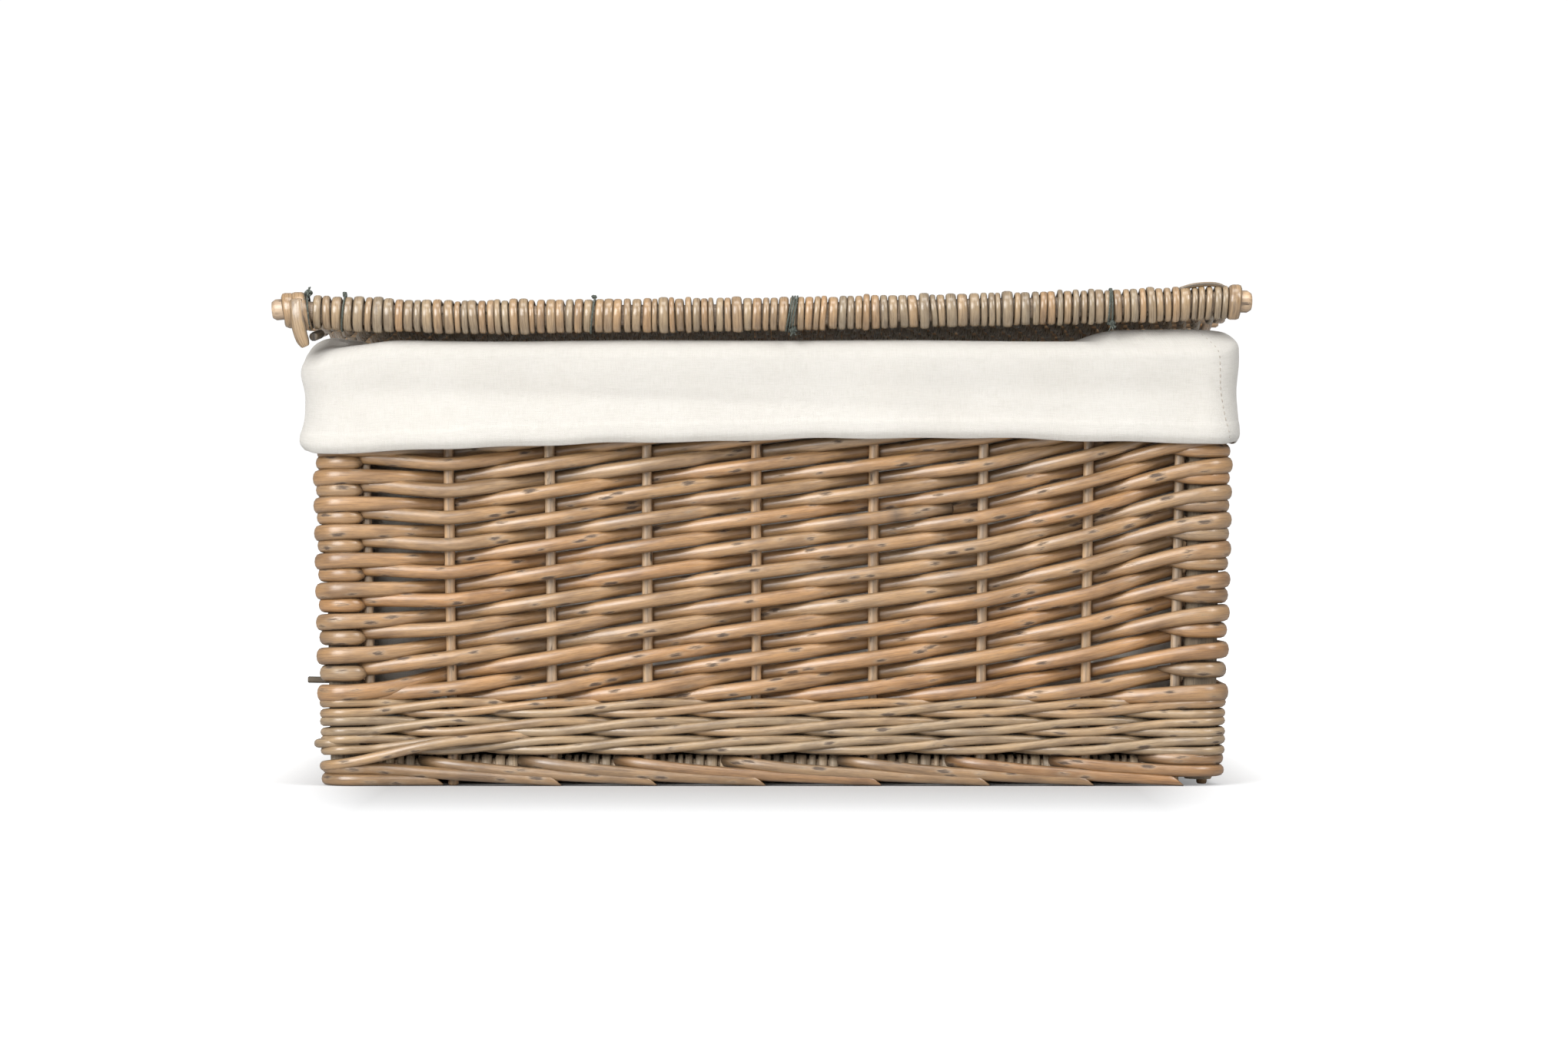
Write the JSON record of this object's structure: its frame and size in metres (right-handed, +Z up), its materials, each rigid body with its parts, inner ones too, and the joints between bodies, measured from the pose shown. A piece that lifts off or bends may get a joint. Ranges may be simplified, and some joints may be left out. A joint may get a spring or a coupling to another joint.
{
  "type": "woven laundry basket",
  "caption": "Rectangular wicker laundry and storage basket with a hinged woven lid, corner posts, slanted-rod foot and a cloth liner whose cuff folds over the rim.",
  "frame": {"origin": "on the floor, under the middle of the closed lid, which is the widest part", "axes": "+X to the right along the basket's length, +Z up, the front faces -Y and the lid's hinge is at +Y"},
  "size_m": [0.47, 0.35, 0.2408],
  "materials": {
    "corner_posts": "peeled willow, grey wash, matt",
    "stake_rods": "peeled willow, antique wash, satin",
    "siding_rods": "peeled willow, antique wash, satin",
    "wale_rods": "thin peeled willow, antique wash, satin",
    "border_rods": "peeled willow, antique wash, satin",
    "lid_skein": "split willow, antique wash, satin",
    "base_skein": "split willow, antique wash, matt",
    "liner_cotton": "undyed cotton calico, plain weave, matt",
    "twine": "dark waxed twine, matt"
  },
  "bodies": {
    "basket": {"base_bands": "base_skein", "base_sticks": "stake_rods", "corner_post_back_left": "corner_posts", "corner_post_back_right": "corner_posts", "corner_post_front_left": "corner_posts", "corner_post_front_right": "corner_posts", "corner_wraps_back_left": "siding_rods", "corner_wraps_back_right": "siding_rods", "corner_wraps_front_left": "siding_rods", "corner_wraps_front_right": "siding_rods", "foot_rods_back": "border_rods", "foot_rods_front": "border_rods", "foot_rods_left": "border_rods", "foot_rods_right": "border_rods", "hinge_loop_left": "lid_skein", "hinge_loop_right": "lid_skein", "liner_cuff_back_left": "liner_cotton", "liner_cuff_back_middle": "liner_cotton", "liner_cuff_back_right": "liner_cotton", "liner_cuff_front": "liner_cotton", "liner_cuff_left": "liner_cotton", "liner_cuff_right": "liner_cotton", "liner_floor": "liner_cotton", "liner_wall_back": "liner_cotton", "liner_wall_front": "liner_cotton", "liner_wall_left": "liner_cotton", "liner_wall_right": "liner_cotton", "rim_border_back": "border_rods", "rim_border_front": "border_rods", "rim_border_left": "border_rods", "rim_border_right": "border_rods", "siding_back": "siding_rods", "siding_front": "siding_rods", "siding_left": "siding_rods", "siding_right": "siding_rods", "stakes_back": "stake_rods", "stakes_front": "stake_rods", "stakes_left": "stake_rods", "stakes_right": "stake_rods", "wale_back": "wale_rods", "wale_front": "wale_rods", "wale_left": "wale_rods", "wale_right": "wale_rods"},
    "lid": {"lid_back_rail": "stake_rods", "lid_back_wrap_left": "lid_skein", "lid_back_wrap_middle": "lid_skein", "lid_back_wrap_right": "lid_skein", "lid_bands": "lid_skein", "lid_front_rail": "stake_rods", "lid_front_wrap": "lid_skein", "lid_sticks": "stake_rods", "lid_twine_knots": "twine"}
  },
  "joints": [
    {"name": "lid_hinge", "type": "hinge", "parent": "basket", "child": "lid", "pos_m": [0, 0.16675, 0.23], "axis": [-1, 0, 0], "range_deg": [0, 110]}
  ]
}
